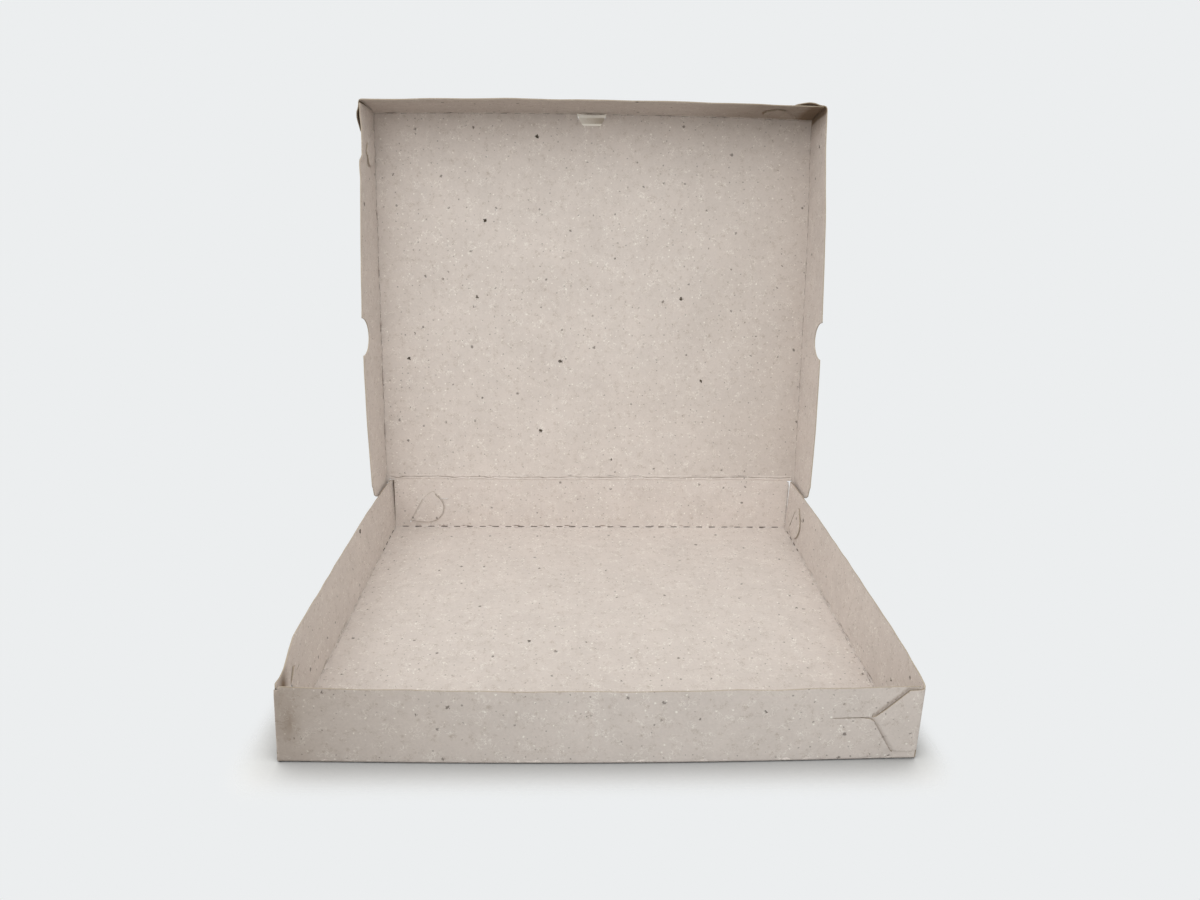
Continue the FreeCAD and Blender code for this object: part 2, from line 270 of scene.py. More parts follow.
def divided(ring, step):
    """The ring with extra points, so that no run is longer than step."""
    points = []
    for i, start in enumerate(ring):
        end = ring[(i + 1) % len(ring)]
        pieces = max(1, int(math.ceil(math.dist(start, end) / step)))
        points += [np.array(start) + (np.array(end) - np.array(start)) * k / pieces for k in range(pieces)]
    return np.array(points)


# %% [markdown]
# ## Filling
# A sheet needs points wherever it bends, and its edge needs them on the die's line. An even grid fine
# enough for the folds would have millions of points. So the grid is fine only across the folds and in the
# locks, and a Delaunay triangulation joins it to the rings. The sheet then gets two faces and an edge as
# thick as the board.

# %% points inside the rings
def inside(points, rings):
    """Which points lie inside an odd number of the rings."""
    odd = np.zeros(len(points), bool)
    for ring in rings:
        low, high = ring.min(0) - 1e-6, ring.max(0) + 1e-6
        near = np.flatnonzero(np.all((points >= low) & (points <= high), axis=1))
        if not len(near):
            continue
        x, y = points[near, 0], points[near, 1]
        crossings = np.zeros(len(near), int)
        for (x1, y1), (x2, y2) in zip(ring, np.roll(ring, -1, axis=0)):
            spans = (y1 > y) != (y2 > y)
            if spans.any():
                crossings[spans] += x[spans] < x1 + (y[spans] - y1) * (x2 - x1) / (y2 - y1)
        odd[near] ^= crossings % 2 == 1
    return odd


def clear_of(points, rings, gap):
    """Which points lie further than gap from every ring's edge."""
    keep = np.ones(len(points), bool)
    for ring in rings:
        low, high = ring.min(0) - gap, ring.max(0) + gap
        near = np.flatnonzero(keep & np.all((points >= low) & (points <= high), axis=1))
        if not len(near):
            continue
        for a, b in zip(ring, np.roll(ring, -1, axis=0)):
            run = b - a
            share = np.clip(((points[near] - a) @ run) / max(run @ run, 1e-12), 0, 1)
            away = np.linalg.norm(points[near] - a - share[:, None] * run, axis=1)
            keep[near[away < gap]] = False
    return keep


# %% filling
def grid_lines(start, end, step, fine):
    """Evenly spaced lines from start to end, with the fine ones added and their close neighbours dropped."""
    fine = np.array(sorted(fine))
    lines = np.arange(start, end, step)
    lines = lines[np.min(np.abs(lines[:, None] - fine[None, :]), axis=1) > 0.45 * step]
    return np.unique(np.concatenate([lines, fine]))


RING_GAP = 0.3


def fill(outer, holes, marks, x_lines, y_lines, patches):
    """Triangles that fill the outline: points (n, 2), faces (m, 3), and which faces lie inside the marks.
    A patch is a box on the flat sheet and the finer step of the points inside it."""
    grid = np.array([(x, y) for x in x_lines for y in y_lines])
    for low, high, step in patches:
        out = np.any((grid < np.array(low)) | (grid > np.array(high)), axis=1)
        xs, ys = np.arange(low[0], high[0], step), np.arange(low[1], high[1], step)
        patch = np.array([(x + 0.35 * step * (j % 2), y) for x in xs for j, y in enumerate(ys)])
        grid = np.vstack([grid[out], patch])
    rings = [outer] + holes
    grid = grid[inside(grid, rings)]
    grid = grid[clear_of(grid, rings + marks, RING_GAP)]
    grid = grid[~inside(grid, marks)]
    points, edges = [grid], []
    offset = len(grid)
    for ring in rings + marks:
        points.append(ring)
        edges += [(offset + i, offset + (i + 1) % len(ring)) for i in range(len(ring))]
        offset += len(ring)
    flat = np.vstack(points)
    result = delaunay_2d_cdt([Vector(p) for p in flat], edges, [], 0, 1e-5)
    flat = np.array([tuple(p) for p in result[0]])
    faces = np.array([f for f in result[2] if len(f) == 3])
    corners = flat[faces]
    centres = corners.mean(axis=1)
    turn = np.cross(corners[:, 1] - corners[:, 0], corners[:, 2] - corners[:, 0])
    faces[turn < 0] = faces[turn < 0][:, ::-1]
    kept = inside(centres, rings) & (np.abs(turn) > 1e-7)
    faces, marked = faces[kept], inside(centres[kept], marks)
    used = np.unique(faces)
    renumber = np.zeros(len(flat), int)
    renumber[used] = np.arange(len(used))
    return flat[used], renumber[faces], marked


# %% thick sheet
NICK_FLOOR = 0.1
FACE, EDGE, NICK = 0, 1, 2


def edges_of(faces):
    """Every edge of the triangles, in the direction that its triangle runs."""
    return {(int(tri[i]), int(tri[(i + 1) % 3])) for tri in faces for i in range(3)}


def thick_sheet(name, flat, faces, middle, materials, marked=None, shade_and_soil=None):
    """A mesh of the folded sheet: `middle` is each point's place in millimetres, halfway through the board.
    The side that faces the inside of the box has the faces' own order. A marked face is a nick that the die
    cut; its floor is sunk in the board and drawn dark, as painted shade for the shadow inside the cut. The
    last argument is how dark each point of the inner and then of the outer layer is made: mostly painted
    shade, with a stain. Both layers keep their place on the flat sheet as a UV map, for the flecks."""
    marked = np.zeros(len(faces), bool) if marked is None else marked
    a, b, c = (middle[faces[:, i]] for i in range(3))
    normals = np.zeros_like(middle)
    area = np.cross(b - a, c - a)
    for i in range(3):
        np.add.at(normals, faces[:, i], area)
    normals /= np.maximum(np.linalg.norm(normals, axis=1), 1e-12)[:, None]
    count = len(middle)
    plain, nicks = faces[~marked], faces[marked]
    sunk = np.unique(nicks)
    inner, outer = middle + normals * BOARD / 2, middle - normals * BOARD / 2
    places = np.vstack([inner, outer, middle[sunk] + normals[sunk] * NICK_FLOOR])
    own, nicked = edges_of(plain), edges_of(nicks)
    polygons = [tuple(f) for f in plain.tolist()]
    polygons += [(f[0] + count, f[2] + count, f[1] + count) for f in faces.tolist()]
    index = [FACE] * len(polygons)
    down = {int(point): 2 * count + k for k, point in enumerate(sunk)}
    for i, j in own:
        if (j, i) in nicked:
            polygons.append((j, i, down[i], down[j]))
            index.append(NICK)
        elif (j, i) not in own:
            polygons.append((j, i, i + count, j + count))
            index.append(EDGE)
    polygons += [tuple(down[int(point)] for point in f) for f in nicks]
    index += [NICK] * len(nicks)
    mesh = bpy.data.meshes.new(name)
    mesh.from_pydata((places * MM).tolist(), [], polygons)
    mesh.update()
    for material in materials:
        mesh.materials.append(material)
    mesh.polygons.foreach_set("material_index", np.array(index, np.int32))
    mesh.polygons.foreach_set("use_smooth", np.ones(len(polygons), bool))
    unfolded = np.vstack([flat, flat, flat[sunk]]) * MM
    loops = np.zeros(len(mesh.loops), np.int32)
    mesh.loops.foreach_get("vertex_index", loops)
    layer = mesh.uv_layers.new(name="flat")
    layer.data.foreach_set("uv", unfolded[loops].ravel().astype(np.float32))
    point_shade_and_soil = np.zeros(len(places), np.float32)
    if shade_and_soil is not None:
        point_shade_and_soil[:2 * count] = shade_and_soil
    mesh.attributes.new("shade_and_soil", "FLOAT", "POINT").data.foreach_set("value", point_shade_and_soil)
    ends = np.zeros(2 * len(mesh.edges), np.int32)
    mesh.edges.foreach_get("vertices", ends)
    border = {(min(i, j), max(i, j)) for i, j in own if (j, i) not in own}
    border |= {(i + count, j + count) for i, j in border}
    sharp = np.array([(min(i, j), max(i, j)) in border for i, j in ends.reshape(-1, 2).tolist()])
    mesh.edges.foreach_set("use_edge_sharp", sharp)
    obj = bpy.data.objects.new(name, mesh)
    bpy.context.scene.collection.objects.link(obj)
    print(name, "points", len(places), "faces", len(polygons), "nicks", len(nicks))
    return obj


# %% [markdown]
# ## Folds and hook locks
# Each wall stands up round its bottom fold. Its flap turns the corner and lies outside the next wall, and
# the flap's hook passes through that wall's slanted slit to the inside. An armature or a bend modifier
# could do one fold, but not a flap that changes sides. So a function works out each point's place from its
# place on the flat sheet: round the fold, round the corner, and through the slit.

# %% places beside the slit
def across_line(x, z):
    """Signed distance from the slanted line that the hook passes through, positive on the hook's side."""
    return ((x - FOOT[0]) * NECK_RUN[1] - (z - FOOT[1]) * NECK_RUN[0]) / NECK_LENGTH


def along_line(x, z):
    """Distance along the slanted line from its foot."""
    return ((x - FOOT[0]) * NECK_RUN[0] + (z - FOOT[1]) * NECK_RUN[1]) / NECK_LENGTH


def lip(u, z):
    """How the wall gives way beside the slanted slit: outwards over the hook, inwards behind the flap."""
    d, e = across_line(u, z), along_line(u, z)
    window = smooth(-2.5, 3, e) * (1 - smooth(NECK_LENGTH - 1, NECK_LENGTH + 3, e))
    over_hook = 0.75 * np.exp(-np.abs(d) / 6.0) * (d > 0) * (z < NECK[1])
    behind_flap = -0.45 * np.exp(-np.abs(d) / 4.0) * (d <= 0)
    return window * (over_hook + behind_flap)


# %% folding
def fold_up(flat, sides, walls, locked, stand_off):
    """Folds the flat points: returns their places in the sheet's own frame, panel flat, walls up. The free
    part of each flap stands off the wall behind it by `stand_off`."""
    place = np.column_stack([flat, np.full(len(flat), BOARD / 2)])
    for name in walls:
        side = sides[name]
        u, w = side.local(flat)
        received = GETS_FROM[name] in walls
        started = (u > 0.1) & (w > -u) if received else u > -30
        mine = (w > -FOLD) & ((w > 0) | (w > u - side.length)) & started
        u, q = u[mine], w[mine] + FOLD
        turn = np.clip(q / FOLD_MID, 0, math.pi / 2)
        beyond = np.maximum(q - FOLD_ARC, 0)
        y = -FOLD + FOLD_MID * np.sin(turn)
        z = BOARD / 2 + FOLD_MID * (1 - np.cos(turn)) + beyond
        if name in locked:
            y = y + lip(u, z) * (z > FOLD)
        spot = side.flat(u, 0 * u) + y[:, None] * side.out
        if GIVES_TO[name] in walls:
            receiver = sides[GIVES_TO[name]]
            s = u - (side.length + BEND_START)
            flap = s > 0
            psi = np.clip(s / CORNER_MID, 0, math.pi / 2)
            x = BOARD / 2 + CORNER_MID * (1 - np.cos(psi)) + np.maximum(s - CORNER_ARC, 0)
            lay = BEND_START + CORNER_MID * np.sin(psi)
            d = across_line(x, z)
            free = smooth(10, 34, z) * smooth(3, 12, x) * (1 - smooth(-7, -1, d))
            passing = smooth(-1.3, 1.3, d) * (x > 6)
            lay = lay + stand_off * free - 2 * LAYER * passing
            around = receiver.flat(x, 0 * x) + lay[:, None] * receiver.out
            spot[flap] = around[flap]
        place[mine] = np.column_stack([spot, z])
    return place


# %% [markdown]
# ## The shape that handling gives
# Board that has been folded by hand isn't straight. The side walls bow outwards between their corners, and
# the locked corners pull the rims inwards. A cloth simulation would make such waves, but board is too
# stiff for it, and each bow here has to follow a known edge. So the places are moved by small, smooth
# functions, with a slow ripple for the unevenness. The closed lid still clears the tray.

# %% ripple
def ripple(a, b, seed):
    """A slow unevenness between about -1 and 1 over places a, b in millimetres."""
    waves = np.random.default_rng(seed)
    total = 0 * a
    for _ in range(7):
        angle = waves.uniform(0, math.pi)
        length = waves.uniform(28, 110)
        phase = waves.uniform(0, 2 * math.pi)
        total = total + np.sin(2 * math.pi * (a * math.cos(angle) + b * math.sin(angle)) / length + phase)
    return total / 3.2


def bowed(x, y, stations, left, right):
    """How far each place y along a side wall moves in x, from a table for the left and the right wall."""
    return np.where(x < 0, -np.interp(y, stations, left), np.interp(y, stations, right))


# %% bows of the tray
TRAY_STATIONS = [-128, -120, -112, -104, -96, -86, -60, 0, 60, 100, 128]
TRAY_LEFT_BOW = [-3.0, -3.4, -2.6, -1.2, 0.4, 2.0, 2.7, 3.0, 2.7, 1.6, 0.0]
TRAY_RIGHT_BOW = [-1.0, -0.3, 0.4, 0.8, 1.2, 1.7, 2.2, 2.5, 2.3, 1.3, 0.0]


def bow_tray(place):
    """The tray's side walls bow, its front arches inwards and lifts at its ends, and its rim is uneven."""
    x, y, z = place.T.copy()
    up = np.clip(z / HEIGHT, 0, 1.1)
    across = x / HALF_WIDTH
    moved_x = x + bowed(x, y, TRAY_STATIONS, TRAY_LEFT_BOW, TRAY_RIGHT_BOW) * up * np.abs(across)
    front = smooth(10, HALF_DEPTH, -y)
    arch = 1 - across**2
    moved_y = y - 2.4 * arch**1.25 * front
    back = smooth(90, HALF_DEPTH, y)
    moved_y = moved_y + back * 0.5 * up * (1 - up) * 4 * ripple(x, z, 4) * (1 - across**8)
    lift = np.where(x < 0, 1.3, 0.6) * across**2 * smooth(30, HALF_DEPTH, -y)
    soft_rim = 0.25 * ripple(x * 1.7, y * 1.7, 5) * smooth(0.7, 1, up) * (1 - smooth(120, 127, y))
    sag = 0.35 * (1 - across**2) * (1 - (y / HALF_DEPTH) ** 2) * (1 + ripple(x, y, 3))
    sag = sag * (1 - np.clip(up * 8, 0, 1))
    return np.column_stack([moved_x, moved_y, z + lift * up + soft_rim + sag])


# %% bows of the lid
LID_STATIONS = [-10, 10, 24, 60, 118, 163, 200, 230, 258]
LID_LEFT_BOW = [0.0, 0.6, 1.2, 2.2, 2.6, 1.4, 0.2, -0.9, -1.2]
LID_RIGHT_BOW = [0.0, 0.4, 1.0, 1.6, 1.6, 0.6, -0.5, -1.2, -1.4]


def bow_lid(place):
    """The lid's side walls bow, its front wall arches, one corner leans in, and the panel bends back."""
    x, s, w = place.T.copy()
    up = np.clip(w / LID_WALL, 0, 1.1)
    across = x / LID_HALF_WIDTH
    moved_x = x + bowed(x, s, LID_STATIONS, LID_LEFT_BOW, LID_RIGHT_BOW) * up * np.abs(across)
    far = smooth(120, LID_LENGTH, s)
    arch = 1 - across**2
    bulge = 0.9 * np.sin(np.pi * np.clip(w / LID_WALL, 0, 1)) * smooth(225, 257, s)
    moved_s = s + (1.9 * arch - 0.95) * far + bulge
    corner = smooth(170, LID_LENGTH, s) * np.clip(across, 0, 1.1)
    moved_x = moved_x - 1.6 * corner
    moved_s = moved_s + 0.5 * ripple(x, w, 8) * up * far * (1 - across**8)
    tucked = smooth(219, 223, s) * smooth(250, 238, s) * np.clip(-across, 0, 1.1) ** 4
    dip = smooth(206, 217, s) * smooth(223, 219, s) * (across < -0.5)
    moved_x = moved_x + (0.9 * tucked - 0.7 * dip) * up**1.5
    soft_rim = 0.3 * ripple(x * 1.7, s * 1.7, 6) * smooth(0.7, 1, up)
    sway = 0.9 * ripple(x, s, 9) * (1 - across**4) * smooth(2, 40, s) * (1 - smooth(235, 257, s))
    lean = -4.0 * np.clip(s / LID_LENGTH, 0, 1.1) ** 2
    return np.column_stack([moved_x, moved_s, w + lean + soft_rim + sway * (1 - np.clip(up * 6, 0, 1))])


# %% standing the lid
def stand_lid(place):
    """From the lid's own frame, panel flat and walls up, to the open lid behind the tray."""
    x, s, w = place.T
    y = HINGE_Y + s * math.cos(LID_TURN) - (w - BOARD / 2) * math.sin(LID_TURN)
    z = HINGE_Z + s * math.sin(LID_TURN) + (w - BOARD / 2) * math.cos(LID_TURN)
    return np.column_stack([x, y, z])


# %% [markdown]
# ## Greyboard
# The box is greyboard, pressed from waste paper. Its rough fibres scatter the light every way, so it is
# matt: its roughness is near 0.9, as on uncoated paper, with hardly any sheen. Its colour is a warm grey,
# clouded by uneven pulp, with dark and light flecks and short fibres from the old print. Scattered decals
# could stand for the flecks, but they would have to be bent round every fold. The flecks here are cells of
# a Voronoi pattern, sized in the flat sheet's own millimetres through the UV map, so they follow the board
# round its folds. The finest pulp is drawn 1.5 mm wide, a little coarser than it is, so that it shows.

# %% colour and node helpers
def linear(code):
    """An sRGB hex colour as the linear values that a shader takes."""
    channels = [int(code[i : i + 2], 16) / 255 for i in (1, 3, 5)]
    return [c / 12.92 if c <= 0.04045 else ((c + 0.055) / 1.055) ** 2.4 for c in channels] + [1.0]


def add(tree, kind, inputs=None, **settings):
    """Adds a shader node. An input takes a plain value, a socket, or a node that gives its first output."""
    made = tree.nodes.new("ShaderNode" + kind)
    for name, value in settings.items():
        setattr(made, name, value)
    for key, value in (inputs or {}).items():
        if isinstance(value, bpy.types.Node):
            value = value.outputs[0]
        if isinstance(value, bpy.types.NodeSocket):
            tree.links.new(value, made.inputs[key])
        else:
            made.inputs[key].default_value = value
    return made


def material(name):
    """A new material with an empty node tree, and that tree."""
    made = bpy.data.materials.new(name)
    made.use_nodes = True
    made.node_tree.nodes.clear()
    return made, made.node_tree


# %% flecks and fibres
def flecks(tree, place, spacing, share, radius, softness):
    """How much of a fleck covers a point: one to a cell `spacing` mm wide, in a `share` of the cells."""
    cells = add(tree, "TexVoronoi", {"Vector": place, "Scale": 1 / spacing}, voronoi_dimensions="2D")
    chance = add(tree, "SeparateColor", {0: cells.outputs["Color"]})
    some = add(tree, "Math", {0: chance, 1: share}, operation="LESS_THAN")
    spread = {0: chance.outputs[1], 1: 1.1 * radius / spacing, 2: 0.45 * radius / spacing}
    reach = add(tree, "Math", spread, operation="MULTIPLY_ADD")
    depth = add(tree, "Math", {0: reach, 1: cells.outputs["Distance"]}, operation="SUBTRACT")
    cover = add(tree, "MapRange", {0: depth, 1: 0.0, 2: softness / spacing})
    return add(tree, "Math", {0: cover, 1: some}, operation="MULTIPLY")


def fibres(tree, place, size, width):
    """Thin wandering lines, drawn where a slow noise passes its middle value, and broken up by another."""
    slow = add(tree, "TexNoise", {"Vector": place, "Scale": 1 / size, "Detail": 1.5, "Roughness": 0.6})
    offset = add(tree, "Math", {0: slow, 1: 0.5}, operation="SUBTRACT")
    level = add(tree, "Math", {0: offset}, operation="ABSOLUTE")
    line = add(tree, "MapRange", {0: level, 1: width, 2: 0.3 * width})
    patchy = add(tree, "TexNoise", {"Vector": place, "Scale": 0.35 / size, "Detail": 2.0})
    kept = add(tree, "MapRange", {0: patchy, 1: 0.5, 2: 0.62})
    return add(tree, "Math", {0: line, 1: kept}, operation="MULTIPLY")


# Each row is a kind of fleck: how far apart its cells are, the share of cells that have one, its radius, its
# soft border and how ragged it is, in millimetres, then its tint and how strongly it covers the board.
FLECKS = (
    (8.0, 0.5, 0.8, 0.9, 1.8, "brown", 0.28),
    (4.6, 0.34, 0.42, 0.25, 1.2, "light", 0.75),
    (4.9, 0.4, 0.38, 0.25, 1.3, "dark", 0.5),
    (17.0, 0.4, 0.75, 0.35, 2.4, "dark", 0.65),
    (52.0, 0.34, 1.15, 0.3, 3.4, "dark", 1.0),
)
print("kinds of fleck:", len(FLECKS))


# %% greyboard
CLOUD, PULP, RAGGED = 26, 1.5, 0.9
# The brown that painted shade and soiling darken the board towards.
SHADE_AND_SOIL_TINT = (0.3, 0.24, 0.18, 1)


def greyboard(name, ground, dark, light, brown, amount=1.0):
    """Board with a ground colour, and flecks and fibres in three tints. `amount` is how much they show."""
    made, tree = material(name)
    ground, dark, light, brown = (linear(code) for code in (ground, dark, light, brown))
    tints = {"dark": dark, "light": light, "brown": brown}
    flat = add(tree, "UVMap", uv_map="flat")
    mm = add(tree, "VectorMath", {0: flat, 1: (1000, 1000, 1000)}, operation="MULTIPLY")
    clouds = add(tree, "TexNoise", {"Vector": mm, "Scale": 1 / CLOUD, "Detail": 4.0, "Roughness": 0.6})
    pulp = add(tree, "TexNoise", {"Vector": mm, "Scale": 1 / PULP, "Detail": 3.0, "Roughness": 0.7})
    tone = add(tree, "Math", {0: clouds, 1: 0.5}, operation="MULTIPLY")
    tone = add(tree, "Math", {0: pulp, 1: 0.5, 2: tone}, operation="MULTIPLY_ADD")
    low = [c * 0.91 for c in ground[:3]] + [1]
    high = [min(1, c * 1.08) for c in ground[:3]] + [1]
    shade = add(tree, "MapRange", {0: tone, 1: 0.3, 2: 0.7})
    colour = add(tree, "Mix", {0: shade, 6: low, 7: high}, data_type="RGBA").outputs[2]
    wander = add(tree, "TexNoise", {"Vector": mm, "Scale": 1 / RAGGED, "Detail": 2.0}).outputs[1]
    place = mm
    for spacing, share, radius, softness, stir, tint, strength in FLECKS:
        shift = (spacing * 1.7, spacing * 0.6, 0)
        place = add(tree, "VectorMath", {0: place, 1: shift}, operation="ADD")
        stirring = {0: wander, 1: (stir, stir, 0), 2: place}
        stirred = add(tree, "VectorMath", stirring, operation="MULTIPLY_ADD")
        cover = flecks(tree, stirred, spacing, share, radius, softness)
        cover = add(tree, "Math", {0: cover, 1: strength * amount}, operation="MULTIPLY")
        colour = add(tree, "Mix", {0: cover, 6: colour, 7: tints[tint]}, data_type="RGBA").outputs[2]
    lines = fibres(tree, place, 2.6, 0.03)
    fine = fibres(tree, stirred, 1.7, 0.04)
    pale = add(tree, "Math", {0: lines, 1: 0.5 * amount}, operation="MULTIPLY")
    colour = add(tree, "Mix", {0: pale, 6: colour, 7: light}, data_type="RGBA").outputs[2]
    grey = add(tree, "Math", {0: fine, 1: 0.3 * amount}, operation="MULTIPLY")
    colour = add(tree, "Mix", {0: grey, 6: colour, 7: brown}, data_type="RGBA").outputs[2]
    # The point attribute darkens the board towards a brown: painted shade in gaps, grooves and sides turned
    # from the light, and the tray's stain and darker front wall end.
    point_shade_and_soil = add(tree, "Attribute", attribute_name="shade_and_soil").outputs["Fac"]
    uneven = add(tree, "MapRange", {0: clouds, 1: 0.3, 2: 0.7, 3: 0.85, 4: 1.15})
    shade_and_soil = add(tree, "Math", {0: point_shade_and_soil, 1: uneven}, operation="MULTIPLY")
    shaded_and_soiled = {0: shade_and_soil, 6: colour, 7: SHADE_AND_SOIL_TINT}
    colour = add(tree, "Mix", shaded_and_soiled, data_type="RGBA", blend_type="MULTIPLY").outputs[2]
    height = add(tree, "Math", {0: pulp, 1: 0.6, 2: clouds}, operation="MULTIPLY_ADD")
    height = add(tree, "Math", {0: lines, 1: 0.35, 2: height}, operation="MULTIPLY_ADD")
    height = add(tree, "Math", {0: fine, 1: -0.2, 2: height}, operation="MULTIPLY_ADD")
    bump = add(tree, "Bump", {"Strength": 0.4, "Distance": 0.00025, "Height": height})
    rough = add(tree, "MapRange", {0: pulp, 1: 0.3, 2: 0.7, 3: 0.82, 4: 0.95})
    board = add(tree, "BsdfPrincipled", {"Base Color": colour, "Roughness": rough, "Normal": bump})
    board.inputs["Specular IOR Level"].default_value = 0.25
    add(tree, "OutputMaterial", {0: board})
    return made


# %% board finishes
board_face = greyboard("greyboard", "#d9d0ca", "#4a4239", "#fbf7f0", "#8f7c66")
# The cut edge is drawn darker than the face: painted shade, for the thin dark lines along the edges of
# flaps, hooks and slits.
board_edge = greyboard("greyboard_cut_edge", "#b5a999", "#8a7f72", "#f2ede5", "#a8957e", 0.4)
# The tab's paler board is a painted highlight, so that its curled edge shows bright.
board_tab = greyboard("greyboard_tab", "#fff9f0", "#8d8172", "#fbf7f0", "#b0a08c", 0.5)
# The nick's floor is drawn almost black: painted shade, for the shadow inside each cut.
board_nick = greyboard("greyboard_nick", "#4a4037", "#332b24", "#665a4e", "#3f372e", 0.5)
BOARD_MATERIALS = [board_face, board_edge, board_nick]
print("materials:", [m.name for m in BOARD_MATERIALS + [board_tab]])

# %% [markdown]
# ## The tray
# The tray is the panel that the pizza lies on, with four walls and four hooked flaps. It could be modelled
# standing, wall by wall, but the board would stretch at the folds. It is drawn as one flat blank instead,
# and every point is folded into place, so the board keeps its length and the cuts and flecks aren't
# stretched.

# %% where the grid is fine
GRID_STEP, LOCK_STEP = 3.0, 1.1
OUTLINE_STEP, SLIT_STEP, TAB_STEP = 1.6, 1.0, 0.8
OUTLINE_ROUGH, SLIT_ROUGH = 0.02, 0.03


def fold_grid(low, high, sides, walls):
    """Grid lines along x and y, fine across each fold and each flap bend."""
    lines = {0: [], 1: []}
    across = np.array([-0.9, -0.4, 0, 0.25, 0.5, 0.75, 1, 1.3]) * FOLD_ARC
    turn = np.array([-0.4, 0, 0.25, 0.5, 0.75, 1, 1.3]) * CORNER_ARC
    for name in walls:
        side = sides[name]
        axis = int(abs(side.out[1]) > 0.5)
        lines[axis] += [side.flat(0.0, w)[axis] for w in across - FOLD]
        if GIVES_TO[name] in walls:
            lines[1 - axis] += [side.flat(side.length + BEND_START + s, 0.0)[1 - axis] for s in turn]
    return [grid_lines(low[i], high[i], GRID_STEP, lines[i]) for i in (0, 1)]


def lock_patches(sides, walls):
    """The boxes on the flat sheet where the locks need a fine grid."""
    boxes = []
    for name in walls:
        giver = GETS_FROM[name]
        if giver not in walls:
            continue
        wall = sides[name]
        corners = [wall.flat(u, flat_height(z)) for u, z in ((1, 3), (46, 39))]
        boxes.append((np.min(corners, 0), np.max(corners, 0), LOCK_STEP))
        wall = sides[giver]
        corners = [wall.flat(flap_u(wall.length, x), flat_height(z)) for x, z in ((3.5, 0), (41, 39))]
        boxes.append((np.min(corners, 0), np.max(corners, 0), LOCK_STEP))
    return boxes


def roughen(ring, amount):
    """The ring with a cut edge's small unevenness."""
    return ring + rng.normal(0, amount, ring.shape)


# %% [markdown]
# ## Painted shade and soiling
# Where two layers of board lie together the gap between them is dark, and hollows and sides turned from the
# light are in shade. More small geometry could make those shadows, but the gaps are thinner than the board.
# So each point carries a number that darkens the material there: painted shade, a stain, and a front wall
# that grows darker towards its left end.

# %% shade in the locks
def flap_shade(flat, sides, walls):
    """1 on the hidden face of each flap near its bend, where no light comes."""
    shade = np.zeros(len(flat))
    for name in walls:
        if GIVES_TO[name] in walls:
            u, w = sides[name].local(flat)
            past = u - sides[name].length
            x = BOARD / 2 + CORNER_MID + np.maximum(past - BEND_START - CORNER_ARC, 0)
            hook = smooth(-2.5, -1.0, across_line(x, wall_height(w))) * (x > 6)
            shade = np.maximum(shade, (w > 0) * smooth(-0.6, 0.6, past) * (1 - hook))
    return shade


def distance_to(u, z, path):
    """How far each point u, z of a wall is from a path of points."""
    nearest = np.full(len(u), 99.0)
    for (ax, az), (bx, bz) in zip(path[:-1], path[1:]):
        length = (bx - ax) ** 2 + (bz - az) ** 2
        part = np.clip(((u - ax) * (bx - ax) + (z - az) * (bz - az)) / length, 0, 1)
        nearest = np.minimum(nearest, np.hypot(u - ax - part * (bx - ax), z - az - part * (bz - az)))
    return nearest


def lock_lines(flat, sides, walls):
    """Thin shade on the wall beside the edge of a hook, inside, and beside the edge of a flap, outside."""
    inner, outer = np.zeros(len(flat)), np.zeros(len(flat))
    hook = hook_arc(0.3) + [(19.0, 5.5), (14.5, 6.4)]
    flap = [(NECK[0] + 0.3, NECK[1] + 0.7), (8.0, 39.3), (1.0, 39.4)]
    for name in walls:
        if GETS_FROM[name] in walls:
            u, w = sides[name].local(flat)
            z = wall_height(w)
            on = (w > 0) & (u > 0.5) & (u < 60)
            inner[on] = 0.6 * np.exp(-((distance_to(u[on], z[on], hook) / 0.55) ** 2))
            outer[on] = 0.6 * np.exp(-((distance_to(u[on], z[on], flap) / 0.7) ** 2))
    return inner, outer


# %% shade and soil of the tray
ALL_WALLS = ["back", "right", "front", "left"]
tray_sides = sides_of(HALF_WIDTH, -HALF_DEPTH, HALF_DEPTH)
# How much darker the tray's front wall is made along its length, most at its left end.
FRONT_DARKENING_X = [-151, -142, -130, -112, -90, -68, -45, 0]
FRONT_DARKENING = [0.6, 0.5, 0.4, 0.29, 0.2, 0.14, 0.08, 0]


def tray_shade_and_soil(place, flat):
    """The tray's darkening: the front wall grows darker towards its left end and has a stain there, and the
    left wall is darker inside near that corner. The hidden faces of the flaps near their bends and the
    wall beside the edges of hooks and flaps get painted shade.
    """
    x, y, z = place.T
    front_face = (y < -HALF_DEPTH + 1.2) & (z > 0.3)
    outer = front_face * np.interp(x, FRONT_DARKENING_X, FRONT_DARKENING)
    stain = np.exp(-(((x + 143) / 3) ** 2) - ((z - 22) / 8) ** 2)
    outer = outer + 0.25 * stain * front_face
    # A darker patch inside the left wall near its front corner.
    near = np.exp(-(((y + 117) / 6) ** 2) - ((z - 31) / 9) ** 2) * (x < -140)
    # Painted shade on the hidden faces of the flaps near their bends.
    hidden = 0.8 * flap_shade(flat, tray_sides, ALL_WALLS) * (np.abs(x) > 100)
    inner = np.maximum(1.1 * near, hidden)
    hook_line, flap_line = lock_lines(flat, tray_sides, ALL_WALLS)
    return np.concatenate([inner + hook_line, outer + flap_line])


